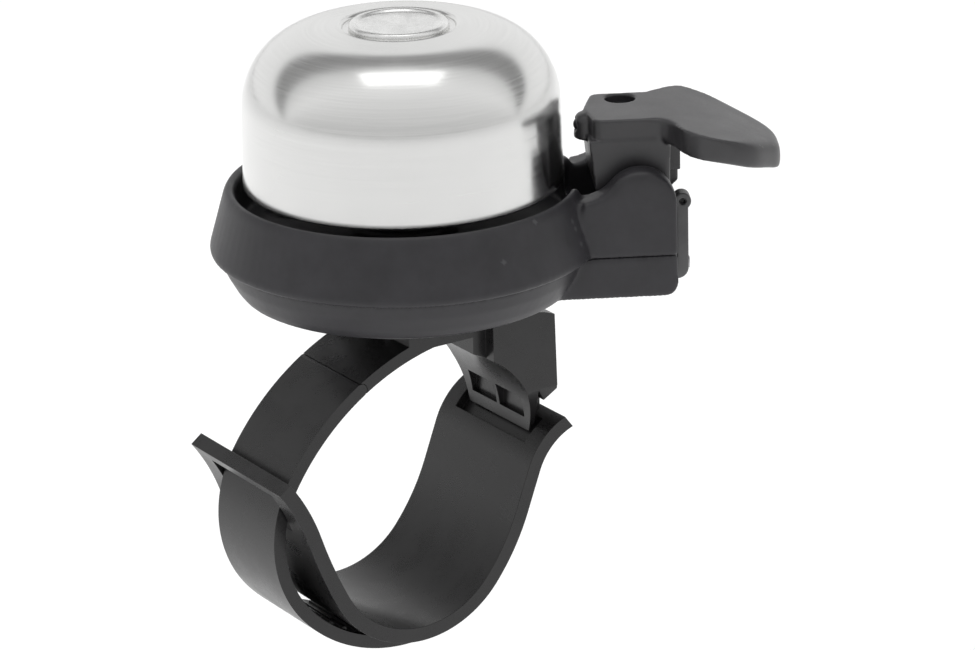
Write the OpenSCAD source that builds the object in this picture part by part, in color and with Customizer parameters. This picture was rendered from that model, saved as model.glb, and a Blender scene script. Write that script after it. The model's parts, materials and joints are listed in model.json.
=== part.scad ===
// Bicycle bell: a spun gong over a moulded cup, rung by a sprung thumb lever, that turns on a
// saddle bracket and is held to the handlebar by a two-piece strap.
// Frame: +X along the handlebar, +Z up the bell's axis, origin on the axis of the clamped bar.
// Lengths are millimetres. Heights on the bell are measured from the gong's rim.

/* [Clamp] */
// Radius of the bar that the lower strap's seat fits
bar_r = 11.1; // [10.9:0.1:11.2]
// Radius of the bracket's saddle
saddle_r = 11.3; // [11.1:0.1:11.5]
// Width of the upper strap
upper_w = 12.3; // [11.5:0.1:12.5]
// Thickness of the upper strap
upper_t = 1.5; // [1.3:0.05:1.6]
// Width of the lower strap
lower_w = 19.5; // [19:0.1:20.5]
// Thickness of the lower strap
lower_t = 1.7; // [1.6:0.05:1.8]

/* [Gong] */
// Radius of the gong at its rim
gong_r = 18; // [17.5:0.1:18.2]
// Wall thickness of the gong
gong_t = 1; // [0.8:0.05:1.1]
// Height of the gong's straight side
gong_side = 9; // [8:0.5:9.5]
// Radius of the gong's shoulder
shoulder_r = 8.75; // [8:0.25:9]
// Radius of the gong's nearly flat crown
crown_r = 90; // [70:5:120]
// Radius of the round cap on the gong
cap_r = 5.6; // [5:0.1:5.9]

/* [Cup and lever] */
// Radius of the cup's skirt at its lower edge
skirt_r = 21.95; // [21.5:0.05:22.2]
// Radius of the bottom cover at its underside
cover_r = 18.8; // [18.2:0.1:19]
// Direction of the lever, turned from the handlebar
lever_turn = 60.8; // [0:0.1:360]
// Width of the lever housing over both ears
housing_w = 17.4; // [17:0.1:18]
// Width of the lever between the ears
lever_w = 10.5; // [10:0.1:10.6]
// Radius of the lever's pivot pin
pin_r = 1; // [0.9:0.05:1.1]

/* [Hidden] */
$fn = 96;
eps = 0.02;
black = [0.1, 0.1, 0.11];

// Bell axis and rim above the bar
bell_y = 4.95;
rim_z = 38.85;

// Gong outline: a drafted side, a shoulder arc and a crown arc that meet tangentially
side_r = gong_r - 0.025 * gong_side;
shoulder_x = side_r - shoulder_r;
crown_z = gong_side - sqrt(pow(crown_r - shoulder_r, 2) - pow(shoulder_x, 2));
crown_angle = atan2(gong_side - crown_z, shoulder_x);
recess_r = 6.3;
recess_z = crown_z + crown_r - 0.65;

// Centre stack, heights from the rim
bolt_r = 2;
bolt_bore_r = 2.15;
bolt_head_z = -16.6;
bolt_head_h = 1.4;
bolt_head_r = 3.9;
barrel_r = 2.9;
barrel_z = 12.5;
spacer_r = 4.4;
washer_t = 0.3;
nut_h = 2.2;
floor_top = -5.2;
floor_under = -7;
boss_top = -4.4;

// Cup and cover
split_z = -7.6;
lip_r = 18.9;
cover_z = -12.4;
cover_wall = 1.4;
cover_gap = 0.05;
housing_h = 29.8;
housing_z = -12.32;
screw_at = [[-12, -8], [-12, 8]];
screw_r = 1.1;
cheek_r = 1.8;
cheek_bite = 0.08;

// Lever, in the plane across the ears: distance out from the bell's axis, height from the rim
pivot = [25.9, -1.5];
ear_r = 3.9;
ear_gap = lever_w + 0.3;
hub_r = 3.5;
stem_out = 29.5;
pin_bore_r = pin_r + 0.05;
plate_top = 7.28;
plate_t = 2.4;
droop_start = 29;
droop_r = 26;
under_z = 4.5;
under_r = 24;
nose = [21, -0.6];
nose_r = 1.8;
tongue_w = 5;
leaf_w = 1.8;
leaf_at = -1.7;
leaf_in = 30.45;
leaf_t = 1.25;
bead = [31.1, -3.35];
bead_r = 0.95;
leaf_foot = -12.1;
rivet_r = 0.45;

// Bracket
bracket_w = 15.5;
saddle = [5.65, 8];
block_y = 20;
rib_y = 9.7;
shoulder_y = 11.4;
boss_r = 9;
boss_z = 22.95;
boss_top_z = 26.05;
tongue_z = 13.1;
tongue_foot = 7.54;
window_z = [9.05, 11.7];
window_x = [0.3, 5.4];
window_floor = 17.5;

// Upper strap: two arcs, with the line where it flexes between them and the bracket
root_c = [9.75, -6.9];
root_r = 28;
root_from = 98;
flex_at = 121.5;
turn_at = 147;
loop_r = 13;
loop_c = root_c + (root_r - loop_r) * [cos(turn_at), sin(turn_at)];
tail_from = 221;
tail_r = 16.8;
tail_c = loop_c + (loop_r - tail_r) * [cos(tail_from), sin(tail_from)];
tail_to = 292;
flex = root_c + (root_r + upper_t / 2) * [cos(flex_at), sin(flex_at)];
flex_gap = 0.08;
tooth_h = 0.25;

// Lower strap: the bar's seat, an arc of large radius on each side of it, a straight flank,
// and a curve out at each end
seat_from = 207;
seat_to = 320;
left_r = 55.8;
left_turn = 9;
right_r = 25;
right_turn = 19;
flank_run = 5;
keeper_r = 24.7;
keeper_turn = 19.2;
hook_r = 9.05;
hook_turn = 47.5;
pocket = 1.1;

function on_arc(c, r, a) = c + r * [cos(a), sin(a)];
function arc(c, r, from, to, n) = [for (i = [0 : n]) on_arc(c, r, from + (to - from) * i / n)];
function reversed(list) = [for (i = [len(list) - 1 : -1 : 0]) list[i]];
left_c = (bar_r - left_r) * [cos(seat_from), sin(seat_from)];
left_end = seat_from - left_turn;
keeper_c = on_arc(left_c, left_r + keeper_r, left_end);
right_c = (bar_r - right_r) * [cos(seat_to), sin(seat_to)];
right_end = seat_to + right_turn;
hook_c = on_arc(right_c, right_r + hook_r, right_end)
    + flank_run * [-sin(right_end), cos(right_end)];

module on_head() translate([0, bell_y, rim_z]) children();
module on_lever_side() on_head() rotate([0, 0, lever_turn]) children();

// A side profile, out from the axis and up, given a width across the ears
module across(w) rotate([90, 0, 0]) linear_extrude(w, center = true) children();

// A profile in the plane across the bar, given a width along it
module along_bar(w) rotate([90, 0, 90]) linear_extrude(w, center = true) children();

// A strip of strap: from radius r outwards by t, between two angles, and w wide
module strip(c, r, t, from, to, w)
    rotate([90, 0, 90]) translate([c[0], c[1], 0])
        rotate_extrude(angle = to - from, start = from)
            translate([r, -w / 2]) square([t, w]);

module ring(r_out, r_in, h) difference() {
    cylinder(h = h, r = r_out);
    translate([0, 0, -1]) cylinder(h = h + 2, r = r_in);
}

module hexagon(r, h) cylinder(h = h, r = r, $fn = 6);

// Half outline of the gong, shrunk by t all over, and run down past the rim by skip
module gong_outline(t, skip) {
    join = [(crown_r - t) * cos(crown_angle), crown_z + (crown_r - t) * sin(crown_angle)];
    polygon([[0, -skip], [gong_r - t, -skip], [gong_r - t, 0], [side_r - t, gong_side],
        join, [0, join[1]]]);
    intersection() {
        translate([shoulder_x, gong_side]) circle(r = shoulder_r - t);
        translate([0, gong_side - 0.5]) square([gong_r, crown_r]);
    }
    intersection() {
        translate([0, crown_z]) circle(r = crown_r - t, $fn = 360);
        polygon([[0, join[1] - 1], [join[0], join[1] - 1], join, join + [0, 2], [0, join[1] + 2]]);
    }
}

module dome() color([0.82, 0.82, 0.84]) on_head() difference() {
    rotate_extrude() gong_outline(0, 0);
    rotate_extrude() gong_outline(gong_t, 1);
    translate([0, 0, recess_z]) cylinder(h = 2, r = recess_r);
    cylinder(h = 30, r = barrel_r + 0.1);
}

module dome_cap() color([0.75, 0.75, 0.76]) on_head() {
    head_z = recess_z + washer_t;
    rotate_extrude() polygon([[0, 16.4], [bolt_r + 0.02, 16.4], [bolt_r + 0.02, barrel_z],
        [barrel_r, barrel_z], [barrel_r, head_z], [cap_r - 0.25, head_z], [cap_r, head_z + 0.25],
        [cap_r, head_z + 0.45], [cap_r - 0.15, head_z + 0.68], [cap_r - 0.5, head_z + 0.82],
        [cap_r - 0.95, head_z + 0.78], [cap_r - 1.3, head_z + 0.5], [0, head_z + 0.45]]);
}

module dome_washer() color([0.2, 0.2, 0.2]) on_head() translate([0, 0, recess_z])
    ring(cap_r - 0.5, barrel_r + 0.05, washer_t);

// The spacer's outer edge meets the underside of the crown
module dome_spacer() color([0.7, 0.7, 0.7]) on_head() {
    bottom = boss_top + washer_t + nut_h;
    top = crown_z + sqrt(pow(crown_r - gong_t, 2) - pow(spacer_r, 2)) - eps;
    translate([0, 0, bottom]) ring(spacer_r, barrel_r + 0.1, top - bottom);
}

module base_nut() color([0.6, 0.6, 0.6]) on_head() translate([0, 0, boss_top + washer_t])
    difference() {
        hexagon(4.05, nut_h);
        translate([0, 0, -1]) cylinder(h = nut_h + 2, r = bolt_r);
    }

module nut_washer() color([0.65, 0.65, 0.65]) on_head() translate([0, 0, boss_top])
    ring(4.6, bolt_r + 0.1, washer_t);

module centre_bolt() color([0.6, 0.6, 0.62]) on_head() translate([0, 0, bolt_head_z]) {
    cylinder(h = bolt_head_h, r = bolt_head_r);
    cylinder(h = 16.3 - bolt_head_z, r = bolt_r);
}

module wave_washer() color([0.6, 0.6, 0.6]) on_head()
    translate([0, 0, bolt_head_z + bolt_head_h]) ring(3.8, bolt_r + 0.1, 0.4);

// The side outline of the lever housing above the split, ears included
module ear_outline() {
    translate(pivot) circle(r = ear_r);
    polygon([[18.6, split_z], [housing_h, split_z], [pivot[0] + ear_r, pivot[1]], pivot,
        [pivot[0] - 2.7, pivot[1] + 2.81], [pivot[0] - 3.5, 0.4], [pivot[0] - 4.4, -0.4],
        [pivot[0] - 5.4, -0.9], [19.4, -1.15]]);
}

module base_cup() color(black) difference() {
    union() {
        on_head() rotate_extrude() polygon([[0, floor_under], [lip_r, floor_under],
            [lip_r + 0.6, split_z], [skirt_r - 0.35, split_z], [skirt_r - 0.05, split_z + 0.25],
            [skirt_r, split_z + 0.6], [skirt_r - 1.75, -0.95], [skirt_r - 2.05, -0.4],
            [skirt_r - 2.4, -0.2], [lip_r + 0.3, -0.4], [lip_r, -0.9], [lip_r, floor_top],
            [0, floor_top]]);
        on_head() cylinder_boss();
        on_lever_side() difference() {
            across(housing_w) ear_outline();
            translate([0, 0, -20]) cylinder(h = 40, r = lip_r + 0.4);
        }
        on_lever_side() {
            cheek();
            mirror([0, 1, 0]) cheek();
        }
    }
    // Room for the lever between the ears, out through the top and the far end
    on_lever_side() {
        across(ear_gap) polygon([[18.5, 6], [18.5, -3.9], [21.2, -5.6], [22.4, -9],
            [28.3, -9], [28.3, -6], [32, -6], [32, 6]]);
        translate([pivot[0], 0, pivot[1]]) rotate([-90, 0, 0]) {
            cylinder(h = 40, r = pin_r + eps);
            mirror([0, 0, 1]) cylinder(h = 7.4, r = pin_r + eps);
        }
    }
    on_head() translate([0, 0, -20]) cylinder(h = 40, r = bolt_bore_r);
    on_head() for (p = screw_at) translate([p[0], p[1], -20]) cylinder(h = 15.2, r = screw_r - 0.15);
}

// The fillet where the sloping skirt runs into a side of the lever housing, biting a little into both
module cheek() {
    side = housing_w / 2;
    reach = side + cheek_r - cheek_bite;
    out = sqrt(pow(skirt_r + cheek_r - cheek_bite, 2) - pow(reach, 2));
    start = atan2(reach, -out);
    foot = split_z + 0.33;
    translate([0, 0, foot]) linear_extrude(-1.2 - foot, scale = 0.924) polygon(concat(
        [0.95 * on_arc([out, -reach], cheek_r, start)],
        [for (i = [0 : 10]) on_arc([out, -reach], cheek_r, start + (90 - start) * i / 10)],
        [[out, 0.8 - side], [0.96 * out, -0.85 * side]]));
}

module cylinder_boss() {
    translate([0, 0, floor_under]) cylinder(h = boss_top - floor_under, r = 6);
    for (p = screw_at) translate([p[0], p[1], floor_under]) cylinder(h = 2.6, r = 2.4);
}

// The bottom cover: a dish under the cup and the lower half of the lever housing in one moulding
module bottom_cover() color(black) difference() {
    union() {
        on_head() difference() {
            rotate_extrude() polygon([[0, cover_z], [cover_r - 0.7, cover_z],
                [cover_r - 0.1, cover_z + 0.3], [cover_r + 0.5, cover_z + 1.1],
                [cover_r + 1.5, cover_z + 2.9], [cover_r + 2.2, split_z - cover_gap],
                [0, split_z - cover_gap]]);
            rotate_extrude() polygon([[0, cover_z + 1.6], [cover_r - 1.9, cover_z + 1.6],
                [cover_r + 0.2, cover_z + 3.2], [cover_r + 0.7, split_z + 1], [0, split_z + 1]]);
        }
        on_lever_side() difference() {
            across(housing_w) cover_outline();
            translate([0, 0, -20]) cylinder(h = 40, r = cover_r - 1);
        }
        on_head() translate([0, 0, cover_z]) cylinder(h = floor_under - cover_z - 0.02, r = 5.5);
        on_head() for (p = screw_at) translate([p[0], p[1], cover_z])
            cylinder(h = floor_under - cover_z - 0.02, r = 2.4);
    }
    on_lever_side() translate([18.9, -housing_w / 2 + 1.8, housing_z + 1.4])
        cube([housing_h - 18.9 - 1.5, housing_w - 3.6, 10]);
    on_head() translate([0, 0, -20]) cylinder(h = 40, r = bolt_bore_r);
    on_head() for (p = screw_at) translate([p[0], p[1], 0]) {
        translate([0, 0, -20]) cylinder(h = 40, r = screw_r + 0.1);
        translate([0, 0, cover_z - 1]) cylinder(h = 2.2, r = 2);
    }
    on_lever_side() translate([housing_h - 2, leaf_at, leaf_foot + 1.3]) rotate([0, 90, 0])
        cylinder(h = 5, r = rivet_r + eps);
}

module cover_outline() {
    corner = 1.5;
    translate([housing_h + 0.05 - corner, housing_z + corner]) circle(r = corner);
    polygon([[15, housing_z], [housing_h + 0.05 - corner, housing_z],
        [housing_h + 0.05, housing_z + corner], [housing_h, split_z - cover_gap],
        [15, split_z - cover_gap]]);
}

module cover_screws() color([0.55, 0.55, 0.55]) on_head() for (p = screw_at)
    translate([p[0], p[1], cover_z + 0.1]) {
        cylinder(h = 1, r = 1.9);
        cylinder(h = 7.1, r = screw_r - 0.17);
    }

// Plan of the thumb plate: a shank over the stem that widens into a paddle, nearer one side
module plate_plan() {
    translate([22.3, -5.05]) square([7, 10.3]);
    hull() {
        translate([22.1, -3.95]) circle(r = 1.1, $fn = 32);
        translate([22.4, 4.2]) circle(r = 1, $fn = 32);
        translate([21.6, 0]) circle(r = 1, $fn = 32);
        translate([24.3, 0]) circle(r = 3.9, $fn = 32);
    }
    hull() {
        translate([29.7, -4.3]) circle(r = 0.8, $fn = 32);
        translate([28.2, 4.3]) circle(r = 1, $fn = 32);
        translate([31.8, 6.1]) circle(r = 1.5, $fn = 32);
        translate([35, -7.25]) circle(r = 4.9, $fn = 64);
        translate([37.6, -4.8]) circle(r = 4.2, $fn = 64);
        translate([38, -2.1]) circle(r = 3.9, $fn = 64);
    }
    // The hollow of the near edge, where the shank runs into the paddle
    polygon([[27, -4], [27.6, -4.98], [28.5, -5.3], [29.2, -5.95], [29.75, -7], [31, -7], [31, -4]]);
}

// Side outline of the plate, which bends down past the stem, between its top and its underside
module plate_side() difference() {
    union() {
        translate([10, plate_top - plate_t]) square([droop_start - 10, plate_t]);
        intersection() {
            translate([droop_start, plate_top - droop_r]) circle(r = droop_r, $fn = 180);
            translate([droop_start - eps, -10]) square([30, 30]);
        }
    }
    intersection() {
        translate([droop_start, under_z - under_r]) circle(r = under_r, $fn = 180);
        translate([droop_start - eps, -30]) square([30, 60]);
    }
}

module lever() color(black) on_lever_side() difference() {
    union() {
        intersection() {
            linear_extrude(20, center = true) plate_plan();
            across(40) plate_side();
        }
        across(lever_w - 0.1) polygon([[20.5, plate_top - plate_t + 0.1], [21.1, -0.6],
            [pivot[0] - 3.2, pivot[1] - 0.9], pivot, [pivot[0] + hub_r, pivot[1]],
            [stem_out, plate_top - plate_t + 0.1]]);
        translate([pivot[0], 0, pivot[1]]) rotate([90, 0, 0])
            cylinder(h = lever_w - 0.1, r = hub_r, center = true);
        // The nose that carries the striker, and the tongue that works the leaf spring
        translate([nose[0], nose[1], plate_top - 3.1]) {
            cylinder(h = 2.1, r = nose_r);
            translate([0, 0, 2.1]) cylinder(h = 0.5, r1 = nose_r, r2 = nose_r - 0.35);
            translate([0, 0, 2.6]) cylinder(h = 0.25, r1 = nose_r - 0.35, r2 = nose_r - 0.9);
        }
        translate([stem_out - 0.6, -tongue_w / 2, 0.4]) cube([1.95, tongue_w, 4.9]);
        translate([0, tongue_w / 4, 0]) across(tongue_w / 2) polygon([[stem_out - 0.6, 4],
            [stem_out + 1.35, 4], [stem_out + 1.35, -1.6], [stem_out + 0.6, -2.3],
            [stem_out - 0.6, -2.3]]);
    }
    translate([pivot[0], 0, pivot[1]]) rotate([90, 0, 0])
        cylinder(h = 40, r = pin_bore_r, center = true);
    translate([24.75, 3.2, plate_top - 3.4]) cylinder(h = 10, r = 1.75);
    translate([16, nose[1], plate_top - 1.6]) rotate([0, 90, 0]) cylinder(h = 6.2, r = 0.82);
}

module striker() color([0.3, 0.3, 0.3]) on_lever_side()
    translate([nose[0] - 1.1, nose[1], plate_top - 1.6]) {
        rotate([0, 90, 0]) cylinder(h = 2.2, r = 0.8);
        sphere(r = 0.8, $fn = 48);
    }

module lever_weight() color([0.2, 0.2, 0.2]) on_lever_side()
    translate([24.75, 3.2, plate_top - 3.38]) cylinder(h = 2.5, r = 1.73);

module lever_pin() color([0.6, 0.6, 0.6]) on_lever_side()
    translate([pivot[0], -7.3, pivot[1]]) rotate([-90, 0, 0])
        cylinder(h = 7.3 + housing_w / 2 + 0.1, r = pin_r);

module return_spring() color(black) on_lever_side() difference() {
    union() {
        translate([0, leaf_at, 0]) across(leaf_w) {
            translate([leaf_in, leaf_foot + 0.9]) square([leaf_t, bead[1] - leaf_foot - 0.9]);
            translate([leaf_in, leaf_foot + 0.9]) intersection() {
                circle(r = leaf_t);
                translate([0, -leaf_t]) square([leaf_t, 2 * leaf_t]);
            }
            translate(bead) circle(r = bead_r);
        }
    }
    translate([bead[0], leaf_at - leaf_w / 2 - 1, bead[1]]) rotate([-90, 0, 0])
        cylinder(h = 1.9, r = 0.42);
    translate([leaf_in - 1, leaf_at, leaf_foot + 1.3]) rotate([0, 90, 0])
        cylinder(h = 4, r = rivet_r + eps);
}

module spring_rivet() color([0.5, 0.5, 0.5]) on_lever_side()
    translate([housing_h - 1.4, leaf_at, leaf_foot + 1.3]) rotate([0, 90, 0]) {
        cylinder(h = leaf_in + leaf_t - housing_h + 1.4, r = rivet_r);
        translate([0, 0, leaf_in + leaf_t - housing_h + 1.4]) cylinder(h = 0.2, r = rivet_r + 0.25);
    }

module bracket() color(black) difference() {
    union() {
        // The block and, below it, the tongue, which narrows towards its foot
        intersection() {
            along_bar(bracket_w) polygon([[shoulder_y, 15], [shoulder_y, boss_z + 0.45],
                [13.4, boss_z + 0.45], [18.6, 22.15], [19.8, 21.7], [block_y, 12.55], [18.4, 11.35],
                [17.45, 12.85], [17.6, 8.6], [17.25, tongue_foot], [15, tongue_foot], [15, 12]]);
            rotate([90, 0, 0]) linear_extrude(80, center = true) polygon([
                [-bracket_w / 2, 30], [-bracket_w / 2, tongue_z], [-upper_w / 2, tongue_foot - eps],
                [upper_w / 2, tongue_foot - eps], [bracket_w / 2, tongue_z], [bracket_w / 2, 30]]);
        }
        // A narrower end to the block, and the web over the bolt's head
        along_bar(upper_w) polygon([[rib_y + 0.3, 17], [rib_y, 18.6], [rib_y, 20.6], [1.2, 20.6],
            [1.2, boss_z + 0.4], [shoulder_y + 0.5, boss_z + 0.4], [shoulder_y + 0.5, 17]]);
        // The solid back of the windows
        along_bar(upper_w - 0.4) polygon([[17.2, 13.5], [17.2, 9], [17.9, 9.25], [18.7, 9.85],
            [18.7, 13.5]]);
        translate([0, bell_y, boss_z]) cylinder(h = boss_top_z - boss_z, r = boss_r);
        strip(root_c, root_r, upper_t, root_from, flex_at, upper_w);
    }
    rotate([90, 0, 90]) translate([saddle[0], saddle[1], -20])
        cylinder(h = 40, r = saddle_r, $fn = 180);
    // The seat of the flexing line
    rotate([90, 0, 90]) translate([flex[0], flex[1], -20])
        cylinder(h = 40, r = upper_t / 2 + flex_gap);
    // The bore for the bolt, and the counterbore for its head
    translate([0, bell_y, 0]) cylinder(h = 40, r = bolt_bore_r);
    translate([0, bell_y, 10])
        cylinder(h = rim_z + bolt_head_z + bolt_head_h - 9.5, r = bolt_head_r + 0.2);
    // Two windows in the face of the tongue
    for (side = [0, 1]) mirror([side, 0, 0]) translate([window_x[0], 12, window_z[0]])
        cube([window_x[1] - window_x[0], window_floor - 12, window_z[1] - window_z[0]]);
}

module friction_washer() color([0.75, 0.75, 0.7]) translate([0, bell_y, boss_top_z])
    ring(boss_r - 1, bolt_bore_r + 0.1, rim_z + cover_z - boss_top_z - 0.1);

// One face of the upper strap in side view, grow outside its inner face
function upper_face(grow) = concat(
    arc(root_c, root_r + grow, flex_at, turn_at, 12),
    arc(loop_c, loop_r + grow, turn_at + 1.5, tail_from - 1.5, 30),
    arc(tail_c, tail_r + grow, tail_from, tail_to, 30));

module strap_upper() color(black) {
    along_bar(upper_w) polygon(concat(upper_face(0), reversed(upper_face(upper_t))));
    rotate([90, 0, 90]) translate([flex[0], flex[1], -upper_w / 2])
        cylinder(h = upper_w, r = upper_t / 2);
    // Ratchet teeth on the inner face, which the keeper catches
    for (a = [226 : 7 : 282])
        strip(tail_c, tail_r - tooth_h, tooth_h + 0.1, a, a + 2.5, upper_w - 2);
}

// One face of the lower strap in side view, from the keeper's end to the hook's. Grow is how far
// it stands outside the inner face, and seat_in how far the seat is filled towards the bar.
function lower_face(grow, seat_in) = concat(
    arc(keeper_c, keeper_r - grow, left_end - 180 + keeper_turn, left_end - 180, 12),
    arc(left_c, left_r + grow, left_end, seat_from, 5),
    arc([0, 0], bar_r + grow - seat_in, seat_from + 1.5, seat_to - 1.5, 44),
    arc(right_c, right_r + grow, seat_to, right_end, 9),
    arc(hook_c, hook_r - grow, right_end - 180, right_end - 180 - hook_turn - 2.2 * grow, 18));

module strap_lower() color(black) difference() {
    along_bar(lower_w) polygon(concat(lower_face(0, 0.1), reversed(lower_face(lower_t, 0))));
    rotate([0, 90, 0]) cylinder(h = 2 * lower_w, r = bar_r, center = true, $fn = 180);
    // The keeper's slot for the upper strap, and the pocket that hooks on the tongue
    strip(keeper_c, keeper_r - 4, 8, 20, 33.6, upper_w + 0.8);
    strip(hook_c, hook_r - pocket, 4, 121.5, 143.5, upper_w + 2.2);
}

dome();
dome_cap();
dome_washer();
dome_spacer();
base_nut();
nut_washer();
centre_bolt();
wave_washer();
base_cup();
bottom_cover();
cover_screws();
lever();
striker();
lever_weight();
lever_pin();
return_spring();
spring_rivet();
bracket();
friction_washer();
strap_upper();
strap_lower();
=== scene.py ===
"""A bicycle bell: a spun gong in a black moulded cup, with a thumb lever, a swivel bracket and a strap."""

import json
import math

import bmesh
import bpy
from mathutils import Matrix, Vector


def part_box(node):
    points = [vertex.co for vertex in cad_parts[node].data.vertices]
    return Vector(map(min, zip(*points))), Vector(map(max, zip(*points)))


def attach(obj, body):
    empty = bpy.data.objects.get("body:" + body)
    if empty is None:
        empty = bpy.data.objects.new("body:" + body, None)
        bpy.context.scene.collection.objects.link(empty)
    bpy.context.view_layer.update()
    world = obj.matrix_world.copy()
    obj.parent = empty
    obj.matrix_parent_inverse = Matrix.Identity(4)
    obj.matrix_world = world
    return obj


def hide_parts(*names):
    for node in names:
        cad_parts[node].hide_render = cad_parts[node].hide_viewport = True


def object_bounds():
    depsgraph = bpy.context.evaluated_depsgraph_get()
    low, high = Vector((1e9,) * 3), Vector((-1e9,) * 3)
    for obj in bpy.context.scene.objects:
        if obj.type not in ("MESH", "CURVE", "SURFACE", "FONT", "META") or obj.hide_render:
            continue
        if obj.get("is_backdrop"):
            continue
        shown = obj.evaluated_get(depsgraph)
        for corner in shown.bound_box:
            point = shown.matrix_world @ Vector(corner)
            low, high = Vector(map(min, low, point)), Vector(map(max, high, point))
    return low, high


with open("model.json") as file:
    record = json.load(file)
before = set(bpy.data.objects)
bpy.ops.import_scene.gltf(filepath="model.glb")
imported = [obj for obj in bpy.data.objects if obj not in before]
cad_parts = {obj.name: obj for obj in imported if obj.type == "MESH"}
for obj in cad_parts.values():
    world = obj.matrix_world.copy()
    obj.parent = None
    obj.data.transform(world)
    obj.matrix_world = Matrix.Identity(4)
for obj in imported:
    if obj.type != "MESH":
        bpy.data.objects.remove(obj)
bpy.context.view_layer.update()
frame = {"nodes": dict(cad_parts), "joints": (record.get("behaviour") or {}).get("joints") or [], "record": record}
nodes = frame["nodes"]
body_of_node = {
    node: body for body, members in frame["record"]["behaviour"]["bodies"].items() for node in members
}

MM = 0.001

# ---------------------------------------------------------------- places, from the frame
gong_low, gong_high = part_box("dome")
RIM = Vector(((gong_low[0] + gong_high[0]) / 2, (gong_low[1] + gong_high[1]) / 2, gong_low[2]))
GONG_R = (gong_high[0] - gong_low[0]) / 2 / MM
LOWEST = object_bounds()[0][2]

joints = {joint["name"]: joint for joint in frame["joints"]}
PIVOT = Vector(joints["lever_pivot"]["pos_m"])
ACROSS = Vector(joints["lever_pivot"]["axis"]).normalized()
OUTWARD = ACROSS.cross(Vector((0, 0, 1)))

# ---------------------------------------------------------------- camera, at the photograph's angle
AZIMUTH, ELEVATION, ROLL = math.radians(57), math.radians(20.25), math.radians(1.4)
DISTANCE = 0.5
LENS, SENSOR = 164.9, 36
AIM_RIGHT, AIM_UP = 0.0094, -0.0164

level_right = Vector((math.cos(AZIMUTH), math.sin(AZIMUTH), 0))
away = Vector((-math.sin(AZIMUTH), math.cos(AZIMUTH), 0))
forward = away * math.cos(ELEVATION) - Vector((0, 0, math.sin(ELEVATION)))
level_up = away * math.sin(ELEVATION) + Vector((0, 0, math.cos(ELEVATION)))
right = level_right * math.cos(ROLL) - level_up * math.sin(ROLL)
up = level_right * math.sin(ROLL) + level_up * math.cos(ROLL)

camera = bpy.data.objects.new("camera", bpy.data.cameras.new("camera"))
camera.data.lens = LENS
camera.data.sensor_width = SENSOR
camera.data.clip_start = 0.01
turn = Matrix((right, up, -forward)).transposed().to_4x4()
camera.matrix_world = Matrix.Translation(RIM - forward * DISTANCE + right * AIM_RIGHT + up * AIM_UP) @ turn
bpy.context.scene.collection.objects.link(camera)
bpy.context.scene.camera = camera


# ---------------------------------------------------------------- materials
# A Mix node's colour sockets, by number, because its other sockets have the same names
MIX_A, MIX_B, MIX_RESULT = 6, 7, 2
# The part of a noise's range that is spread from one value to the other
NOISE_LOW, NOISE_HIGH = 0.3, 0.7
# Pointiness on an edge that is just convex, and on a sharp one
EDGE_SOFT, EDGE_SHARP = 0.53, 0.62


class Nodes:
    """A node tree, with short ways to add and link its nodes."""

    def __init__(self, tree):
        self.tree = tree

    def add(self, kind, **settings):
        node = self.tree.nodes.new(kind)
        for key, value in settings.items():
            setattr(node, key, value)
        return node

    def link(self, source, target):
        self.tree.links.new(source, target)

    def math(self, operation, *values):
        """The result of a sum, whose values are numbers or other nodes' outputs."""
        node = self.add("ShaderNodeMath", operation=operation)
        for socket, value in zip(node.inputs, values):
            if isinstance(value, (int, float)):
                socket.default_value = value
            else:
                self.link(value, socket)
        return node.outputs[0]


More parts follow.
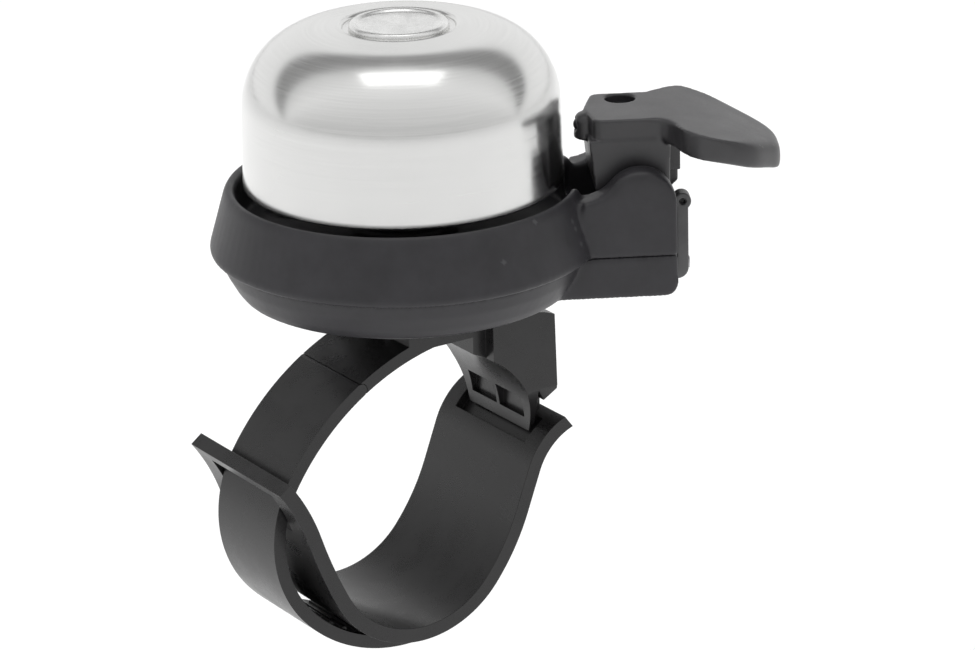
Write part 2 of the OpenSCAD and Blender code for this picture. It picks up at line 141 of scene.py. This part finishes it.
class Shader(Nodes):
    """A Principled material. flat gives sockets that hold one value all over."""

    def __init__(self, name, metallic=0.0, **flat):
        self.material = bpy.data.materials.new(name)
        self.material.use_nodes = True
        super().__init__(self.material.node_tree)
        self.bsdf = self.tree.nodes["Principled BSDF"]
        self.bsdf.inputs["Metallic"].default_value = metallic
        for socket, value in flat.items():
            self.bsdf.inputs[socket.replace("_", " ")].default_value = value
        self.place = self.add("ShaderNodeTexCoord").outputs["Object"]

    def noise(self, scale, detail=3.0, roughness=0.5, place=None):
        """Noise with about scale features a metre."""
        node = self.add("ShaderNodeTexNoise")
        self.link(place or self.place, node.inputs["Vector"])
        node.inputs["Scale"].default_value = scale
        node.inputs["Detail"].default_value = detail
        node.inputs["Roughness"].default_value = roughness
        return node.outputs["Fac"]

    def between(self, value, low, high, low_in=NOISE_LOW, high_in=NOISE_HIGH):
        """value, a number from a texture, spread from low to high."""
        node = self.add("ShaderNodeMapRange")
        self.link(value, node.inputs["Value"])
        for socket, number in (
            ("From Min", low_in), ("From Max", high_in), ("To Min", low), ("To Max", high),
        ):
            node.inputs[socket].default_value = number
        return node.outputs["Result"]

    def colour(self, value, low, high):
        """The colour low turning to high with value, a number from a texture."""
        node = self.add("ShaderNodeMix", data_type="RGBA")
        self.link(self.between(value, 0, 1), node.inputs["Factor"])
        node.inputs[MIX_A].default_value = (*low, 1)
        node.inputs[MIX_B].default_value = (*high, 1)
        return node.outputs[MIX_RESULT]

    def worn(self, colour, rubbed, amount):
        """colour, turning to rubbed along convex edges."""
        pointiness = self.add("ShaderNodeNewGeometry").outputs["Pointiness"]
        node = self.add("ShaderNodeMix", data_type="RGBA")
        self.link(self.between(pointiness, 0, amount, EDGE_SOFT, EDGE_SHARP), node.inputs["Factor"])
        self.link(colour, node.inputs[MIX_A])
        node.inputs[MIX_B].default_value = (*rubbed, 1)
        return node.outputs[MIX_RESULT]

    def set(self, socket, value):
        self.link(value, self.bsdf.inputs[socket])

    def bump(self, height, distance, strength, under=None):
        """Relief of a height, distance deep, on top of another bump if there is one."""
        node = self.add("ShaderNodeBump")
        node.inputs["Distance"].default_value = distance
        node.inputs["Strength"].default_value = strength
        self.link(height, node.inputs["Height"])
        if under is not None:
            self.link(under, node.inputs["Normal"])
        return node.outputs["Normal"]


def spun_metal(name, base, roughness, anisotropy=0.0, ring_scale=4200.0, along_ring=60.0):
    """Metal with fine rings about the object's own Z axis."""
    s = Shader(name, metallic=1.0, Anisotropic=anisotropy, Anisotropic_Rotation=0.25)
    tangent = s.add("ShaderNodeTangent", direction_type="RADIAL", axis="Z")
    s.link(tangent.outputs[0], s.bsdf.inputs["Tangent"])
    split = s.add("ShaderNodeSeparateXYZ")
    s.link(s.place, split.inputs[0])
    x, y, z = split.outputs
    radius = s.math("SQRT", s.math("ADD", s.math("MULTIPLY", x, x), s.math("MULTIPLY", y, y)))
    rings = s.add("ShaderNodeCombineXYZ")
    s.link(s.math("MULTIPLY", x, along_ring), rings.inputs[0])
    s.link(s.math("MULTIPLY", y, along_ring), rings.inputs[1])
    s.link(s.math("MULTIPLY", s.math("SUBTRACT", z, radius), ring_scale), rings.inputs[2])
    fine = s.noise(1.0, detail=4.0, roughness=0.6, place=rings.outputs[0])
    cloud = s.noise(180.0)
    s.set("Base Color", s.colour(fine, [c * 0.93 for c in base], base))
    s.set("Roughness", s.math("ADD", s.between(fine, -0.05, 0.05),
                              s.between(cloud, roughness - 0.03, roughness + 0.03)))
    s.set("Normal", s.bump(fine, 0.000004, 0.35))
    return s.material


def moulded(name, base, roughness, grain=0.000006, rubbed=(0.09, 0.09, 0.095), **flat):
    """Moulded plastic: a fine satin grain, soft mottling, and lighter along worn edges if rubbed is given."""
    s = Shader(name, **flat)
    mottle = s.noise(260.0, detail=4.0, roughness=0.6)
    satin = s.noise(7500.0, detail=2.0, roughness=0.6)
    ripple = s.noise(240.0, detail=2.0)
    colour = s.colour(mottle, [c * 0.8 for c in base], [c * 1.25 for c in base])
    s.set("Base Color", s.worn(colour, rubbed, 0.5) if rubbed else colour)
    s.set("Roughness", s.math("ADD", s.between(mottle, roughness - 0.04, roughness + 0.05),
                              s.between(satin, -0.03, 0.03)))
    s.set("Normal", s.bump(satin, grain, 0.6, under=s.bump(ripple, 0.00003, 0.4)))
    return s.material


def cast_metal(name, base, roughness, pit_scale=2200.0, depth=0.000006):
    """Dull metal with an uneven, pitted face."""
    s = Shader(name, metallic=1.0)
    pits = s.noise(pit_scale, detail=5.0, roughness=0.65)
    cloud = s.noise(400.0)
    s.set("Base Color", s.colour(cloud, [c * 0.82 for c in base], base))
    s.set("Roughness", s.between(pits, roughness - 0.1, roughness + 0.1))
    s.set("Normal", s.bump(pits, depth, 0.6))
    return s.material


GONG = spun_metal("spun_aluminium", (0.85, 0.85, 0.84), 0.21, anisotropy=0.5)
CAP = cast_metal("cap_metal", (0.97, 0.97, 0.96), 0.3, pit_scale=2600.0, depth=0.000007)
DARK_STEEL = cast_metal("blackened_steel", (0.1, 0.1, 0.105), 0.5)
STEEL = cast_metal("zinc_steel", (0.6, 0.6, 0.61), 0.38)
BODY = moulded("cup_plastic", (0.0245, 0.0235, 0.027), 0.45)
LEVER = moulded("lever_plastic", (0.0245, 0.0235, 0.026), 0.36, grain=0.000008, Specular_IOR_Level=0.75)
# The leaf spring is the same black plastic as the cup. This lighter copy paints in the light that falls on its
# side face, as a painted highlight.
LIT_LEAF_PLASTIC = moulded("leaf_plastic_painted_light", (0.11, 0.11, 0.112), 0.42)
STRAP = moulded("strap_plastic", (0.0145, 0.014, 0.0145), 0.29, grain=0.000002, rubbed=None)
NYLON = moulded("nylon", (0.68, 0.67, 0.62), 0.5, grain=0.000004, rubbed=(0.8, 0.8, 0.78))
SEAL = moulded("seal_rubber", (0.03, 0.03, 0.03), 0.7, grain=0.00001, rubbed=(0.05, 0.05, 0.05))

# ---------------------------------------------------------------- mesh makers
WELD = 1e-6                          # points of a CAD mesh nearer than this are one point
FLAT_WITHIN = math.radians(0.5)      # faces that turn less than this are one flat face
BEVEL_OVER = math.radians(30)        # edges that turn more than this are rounded
FULLNESS = 0.00004                   # what smoothing takes off a skin, put back


def finish_piece(mesh, name, material, body, replaced, place=None, sharp=None):
    """A mesh as a piece of the object, riding on a body.

    Edges over sharp degrees stay crisp, all are smooth if it is 0, and None keeps the mesh's own normals."""
    piece = bpy.data.objects.new(name, mesh)
    bpy.context.scene.collection.objects.link(piece)
    if place is not None:
        piece.location = place
    mesh.materials.clear()
    mesh.materials.append(material)
    if sharp is not None:
        mesh.polygons.foreach_set("use_smooth", [True] * len(mesh.polygons))
    if sharp:
        mesh.set_sharp_from_angle(angle=math.radians(sharp))
    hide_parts(*replaced)
    bpy.context.view_layer.update()
    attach(piece, body)
    return piece


def arc(cx, cz, radius, start, end, count):
    """Points on a circle, angles in degrees."""
    return [
        (cx + radius * math.cos(math.radians(a)), cz + radius * math.sin(math.radians(a)))
        for a in (start + (end - start) * i / count for i in range(count + 1))
    ]


def edited(mesh, change):
    """mesh, after change has worked on it as a bmesh."""
    bm = bmesh.new()
    bm.from_mesh(mesh)
    change(bm)
    bm.to_mesh(mesh)
    bm.free()
    return mesh


def lathe(profile, segments=240):
    """A closed profile of (radius, height) points in millimetres, turned about Z."""
    def revolve(bm):
        turns = [2 * math.pi * i / segments for i in range(segments)]
        rings = [
            [bm.verts.new((r * MM * math.cos(t), r * MM * math.sin(t), z * MM)) for t in turns]
            for r, z in profile
        ]
        for ring, following in zip(rings, rings[1:] + rings[:1]):
            for i in range(segments):
                j = (i + 1) % segments
                bm.faces.new((ring[i], ring[j], following[j], following[i]))
        bmesh.ops.recalc_face_normals(bm, faces=bm.faces)

    return edited(bpy.data.meshes.new("lathe"), revolve)


def evaluated(source_mesh, set_up):
    """source_mesh after the modifiers that set_up adds, as a new mesh."""
    temporary = bpy.data.objects.new("temporary", source_mesh)
    bpy.context.scene.collection.objects.link(temporary)
    set_up(temporary)
    graph = bpy.context.evaluated_depsgraph_get()
    result = bpy.data.meshes.new_from_object(temporary.evaluated_get(graph))
    bpy.data.objects.remove(temporary)
    return result


def weld(bm):
    """Close the seams between a CAD mesh's faces."""
    bmesh.ops.remove_doubles(bm, verts=bm.verts, dist=WELD)


def join_flats(bm):
    """Close the seams, and make the triangles of each flat face one face."""
    weld(bm)
    bmesh.ops.dissolve_limit(
        bm, angle_limit=FLAT_WITHIN, verts=bm.verts, edges=bm.edges, delimit={"NORMAL"}
    )
    for face in bm.faces:
        face.smooth = True


def softened(node, voxel, passes, zone=None, zone_passes=0):
    """A CAD node's shape as one skin with the soft edges and inside corners of a moulding.

    zone gives how far, 0 to 1, a point takes part in zone_passes more of smoothing."""
    def set_up(temporary):
        remesh = temporary.modifiers.new("skin", "REMESH")
        remesh.mode = "VOXEL"
        remesh.voxel_size = voxel
        smooth = temporary.modifiers.new("soft", "SMOOTH")
        smooth.factor = 0.5
        smooth.iterations = passes
        fuller = temporary.modifiers.new("fuller", "DISPLACE")
        fuller.mid_level = 0
        fuller.strength = FULLNESS

    def relax(bm):
        weights = [zone(vertex.co) for vertex in bm.verts]
        moving = [(vertex, weight) for vertex, weight in zip(bm.verts, weights) if weight > 0]
        for _ in range(zone_passes):
            targets = []
            for vertex, weight in moving:
                ring = [edge.other_vert(vertex).co for edge in vertex.link_edges]
                middle = sum(ring, Vector()) / len(ring)
                targets.append(vertex.co.lerp(middle, 0.5 * weight))
            for (vertex, _weight), target in zip(moving, targets):
                vertex.co = target

    skin = evaluated(edited(nodes[node].data.copy(), weld), set_up)
    return edited(skin, relax) if zone else skin


def bevelled(node, width):
    """A CAD node's shape with every sharp edge rounded, and normals that keep its flats flat."""
    def set_up(temporary):
        bevel = temporary.modifiers.new("edges", "BEVEL")
        bevel.limit_method = "ANGLE"
        bevel.angle_limit = BEVEL_OVER
        bevel.width = width
        bevel.segments = 3
        bevel.use_clamp_overlap = True
        weighted = temporary.modifiers.new("normals", "WEIGHTED_NORMAL")
        weighted.weight = 100

    return evaluated(edited(nodes[node].data.copy(), join_flats), set_up)


def ramp(value, start, end):
    """0 at start and 1 at end, eased."""
    t = min(max((value - start) / (end - start), 0), 1)
    return t * t * (3 - 2 * t)


# ---------------------------------------------------------------- gong, in millimetres from the rim's centre
GONG_WALL = 1.0
GONG_EDGE = 0.28                     # radius of each edge of the rim
SIDE_H, SHOULDER_R, CROWN_R = 9.0, 8.75, 90.0
DRAFT = 0.025                        # how far the side leans in, for each millimetre up
RECESS_R, RECESS_DROP = 6.3, 0.65    # the recess under the cap, its floor measured from the crown's top
LIP, FILLET = 0.35, 0.12             # radii at the recess's edge and foot
HOLE_R = 3.0

side_r = GONG_R - DRAFT * SIDE_H
shoulder_x = side_r - SHOULDER_R
crown_z = SIDE_H - math.sqrt((CROWN_R - SHOULDER_R) ** 2 - shoulder_x ** 2)
join = math.degrees(math.atan2(SIDE_H - crown_z, shoulder_x))
top_z = crown_z + CROWN_R


def crown_point(radius, inset=0.0):
    """A point on the crown, or inset under it."""
    return (radius, crown_z + math.sqrt((CROWN_R - inset) ** 2 - radius ** 2))


def gong_profile():
    """Outside from the rim to the recess, down into it, and back along the inside."""
    crown_from = shoulder_x + SHOULDER_R * math.cos(math.radians(join))
    lip_x, lip_z = RECESS_R + LIP, crown_point(RECESS_R)[1] - LIP
    recess_z = top_z - RECESS_DROP
    inner_from = HOLE_R + 0.2
    points = arc(GONG_R - GONG_WALL + GONG_EDGE, GONG_EDGE, GONG_EDGE, 180, 270, 5)
    points += arc(GONG_R - GONG_EDGE, GONG_EDGE, GONG_EDGE, 270, 360, 5)
    points += [(GONG_R - DRAFT * SIDE_H * k / 8, SIDE_H * k / 8) for k in range(1, 8)]
    points += arc(shoulder_x, SIDE_H, SHOULDER_R, 0, join, 40)
    points += [crown_point(crown_from + (lip_x - crown_from) * k / 8) for k in range(1, 9)]
    points += arc(lip_x, lip_z, LIP, 95, 180, 5)
    points += arc(RECESS_R - FILLET, recess_z + FILLET, FILLET, 0, -90, 3)
    points += [(HOLE_R, recess_z), (HOLE_R, top_z - GONG_WALL)]
    points += [crown_point(inner_from + (crown_from - HOLE_R) * k / 6, GONG_WALL) for k in range(6)]
    points += arc(shoulder_x, SIDE_H, SHOULDER_R - GONG_WALL, join, 0, 24)
    points += [(side_r - GONG_WALL + DRAFT * SIDE_H * k / 6, SIDE_H * (1 - k / 6)) for k in range(1, 6)]
    return points


finish_piece(lathe(gong_profile()), "gong", GONG, "head", ["dome"], RIM, sharp=50)

# ---------------------------------------------------------------- cap, in millimetres from the same centre
CAP_SUNK = 0.36                      # how much lower the face is than the CAD cap's
CAP_ROLL = 0.5                       # radius of the rolled rim
CAP_THICK, CAP_UNDER_INSET = 0.82, 0.35
CAP_BARREL_R, CAP_BORE_R, CAP_BORE_TOP = 2.9, 2.02, 16.4
CAP_DISH = ((1.15, 0.3), (1.6, 0.37), (2.6, 0.4))  # the dished face: in from the edge, and down
CAP_CENTRE_R, CAP_CENTRE_DROP = 0.02, 0.36

cap_box_low, cap_box_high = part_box("dome_cap")
CAP_R = (cap_box_high[0] - cap_box_low[0]) / 2 / MM
cap_top = (cap_box_high[2] - RIM[2]) / MM - CAP_SUNK
cap_low = (cap_box_low[2] - RIM[2]) / MM


def cap_profile():
    """A pressed cap with a rolled rim round a shallow dished face, and its barrel below."""
    under = cap_top - CAP_THICK
    points = [(CAP_BORE_R, cap_low), (CAP_BARREL_R, cap_low), (CAP_BARREL_R, under)]
    points += [(CAP_R - CAP_UNDER_INSET, under)]
    points += arc(CAP_R - CAP_ROLL, cap_top - CAP_ROLL, CAP_ROLL, -50, 150, 12)
    points += [(CAP_R - inset, cap_top - drop) for inset, drop in CAP_DISH]
    points += [(CAP_CENTRE_R, cap_top - CAP_CENTRE_DROP)]
    points += [(CAP_CENTRE_R, CAP_BORE_TOP), (CAP_BORE_R, CAP_BORE_TOP)]
    return points


finish_piece(lathe(cap_profile(), 160), "gong_cap", CAP, "head", ["dome_cap"], RIM, sharp=50)

# ---------------------------------------------------------------- mouldings
# Where the extra smoothing comes in, each from none to all of it, in metres from the lever's pivot
TIP_OUT, TIP_BELOW_TOP = (0.006, 0.0105), (0.0005, 0.0018)
HOLLOW_OUT, HOLLOW_ACROSS, HOLLOW_SHARE = 0.0034, -0.0056, 0.1
HOLLOW_REACH = (0.0012, 0.003)
EAR_ACROSS, EAR_OUT, EAR_ABOVE = (0.0034, 0.0044), (-0.0065, -0.005), (0.0003, 0.002)
PLATE_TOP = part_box("lever")[1][2]


def paddle_edges(point):
    """The lower edge of the paddle's round outer end, and the hollow where the shank widens into it."""
    place = point - PIVOT
    out, across = place.dot(OUTWARD), place.dot(ACROSS)
    tip = ramp(out, *TIP_OUT) * ramp(PLATE_TOP - point.z, *TIP_BELOW_TOP)
    from_hollow = math.hypot(out - HOLLOW_OUT, across - HOLLOW_ACROSS)
    return max(tip, HOLLOW_SHARE * (1 - ramp(from_hollow, *HOLLOW_REACH)))


def ear_top(point):
    """The rounded tops of the two ears that carry the lever's pin."""
    place = point - PIVOT
    sideways = ramp(abs(place.dot(ACROSS)), *EAR_ACROSS)
    return sideways * ramp(place.dot(OUTWARD), *EAR_OUT) * ramp(place.z, *EAR_ABOVE)


for node, voxel, passes, material, zone, zone_passes in (
    ("base_cup", 0.00026, 3, BODY, ear_top, 30),
    ("bottom_cover", 0.00026, 3, BODY, None, 0),
    ("lever", 0.00014, 7, LEVER, paddle_edges, 130),
    ("return_spring", 0.00008, 4, LIT_LEAF_PLASTIC, None, 0),
):
    skin = softened(node, voxel, passes, zone, zone_passes)
    finish_piece(skin, node + "_moulding", material, body_of_node[node], [node], sharp=0)
for node, width in (("bracket", 0.00015), ("strap_lower", 0.00018), ("strap_upper", 0.00018)):
    rounded = bevelled(node, width)
    finish_piece(rounded, node + "_moulding", STRAP, body_of_node[node], [node])

# ---------------------------------------------------------------- plain hardware keeps its CAD shape
for node, material in (
    ("dome_washer", SEAL), ("dome_spacer", NYLON), ("friction_washer", NYLON), ("base_nut", STEEL),
    ("nut_washer", STEEL), ("centre_bolt", STEEL), ("wave_washer", STEEL), ("cover_screws", STEEL),
    ("striker", DARK_STEEL), ("lever_weight", DARK_STEEL), ("lever_pin", STEEL), ("spring_rivet", STEEL),
):
    mesh = nodes[node].data
    mesh.materials.clear()
    mesh.materials.append(material)

# ---------------------------------------------------------------- floor
FLOOR_DROP, FLOOR_R = 0.06, 4.0
FLOOR_GLOW = 0.22                    # a little light of its own keeps it near white

floor_look = Shader("pale_floor", Roughness=0.9)
floor_look.set("Base Color", floor_look.colour(floor_look.noise(3.0), (0.86, 0.86, 0.86), (0.88, 0.88, 0.88)))
floor_look.bsdf.inputs["Emission Color"].default_value = (1, 1, 1, 1)
floor_look.bsdf.inputs["Emission Strength"].default_value = FLOOR_GLOW
floor_mesh = edited(
    bpy.data.meshes.new("floor"),
    lambda bm: bmesh.ops.create_circle(bm, cap_ends=True, radius=FLOOR_R, segments=96),
)
floor_mesh.materials.append(floor_look.material)
floor = bpy.data.objects.new("floor", floor_mesh)
floor.location = (0, 0, LOWEST - FLOOR_DROP)
bpy.context.scene.collection.objects.link(floor)
floor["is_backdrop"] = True

# ---------------------------------------------------------------- lights
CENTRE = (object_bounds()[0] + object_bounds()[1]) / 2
FLOOR_BEHIND = CENTRE + away * 0.3 - Vector((0, 0, 0.1))


def softbox(name, to_away, height, aim, width, depth, watts):
    """An area light, placed as seen by the camera, level from left to right and aimed at a point."""
    data = bpy.data.lights.new(name, "AREA")
    data.shape = "RECTANGLE"
    data.size, data.size_y = width, depth
    data.energy = watts
    light = bpy.data.objects.new(name, data)
    light.location = CENTRE + away * to_away + Vector((0, 0, height))
    back = (light.location - aim).normalized()
    basis = Matrix((level_right, back.cross(level_right), back)).transposed()
    light.rotation_mode = "QUATERNION"
    light.rotation_quaternion = basis.to_quaternion()
    bpy.context.scene.collection.objects.link(light)
    return light


softbox("overhead", to_away=0.0, height=0.55, aim=CENTRE, width=0.33, depth=0.2, watts=0.21)
background = softbox(
    "background", to_away=0.35, height=0.55, aim=FLOOR_BEHIND, width=0.7, depth=0.5, watts=1.6
)
background.visible_glossy = False

# ---------------------------------------------------------------- soft world
# Brightness by the angle, in degrees, from the camera's horizon over the top to the far one, with a
# darker strip past overhead that draws the crease under the gong's crown
SKY = ((0, 0.55), (40, 0.72), (75, 0.85), (104, 0.7), (115, 0.3), (136, 0.25), (144, 0.86), (180, 0.9))

world = bpy.data.worlds.new("studio")
bpy.context.scene.world = world
world.use_nodes = True
sky = Nodes(world.node_tree)
direction = sky.add("ShaderNodeTexCoord").outputs["Generated"]


def part_along(axis):
    """How much of the world's direction lies along an axis."""
    node = sky.add("ShaderNodeVectorMath", operation="DOT_PRODUCT")
    sky.link(direction, node.inputs[0])
    node.inputs[1].default_value = axis
    return node.outputs["Value"]


half_turns = sky.math("DIVIDE", sky.math("ARCTAN2", part_along((0, 0, 1)), part_along(-away)), math.pi)
brightness = sky.add("ShaderNodeValToRGB")
sky.link(half_turns, brightness.inputs[0])
stops = brightness.color_ramp.elements
for k, (degrees, level) in enumerate(SKY):
    stop = stops[k] if k < 2 else stops.new(degrees / 180)
    stop.position = degrees / 180
    stop.color = (level, level, level, 1)
sky.link(brightness.outputs[0], world.node_tree.nodes["Background"].inputs["Color"])

bpy.context.scene.view_settings.view_transform = "Standard"
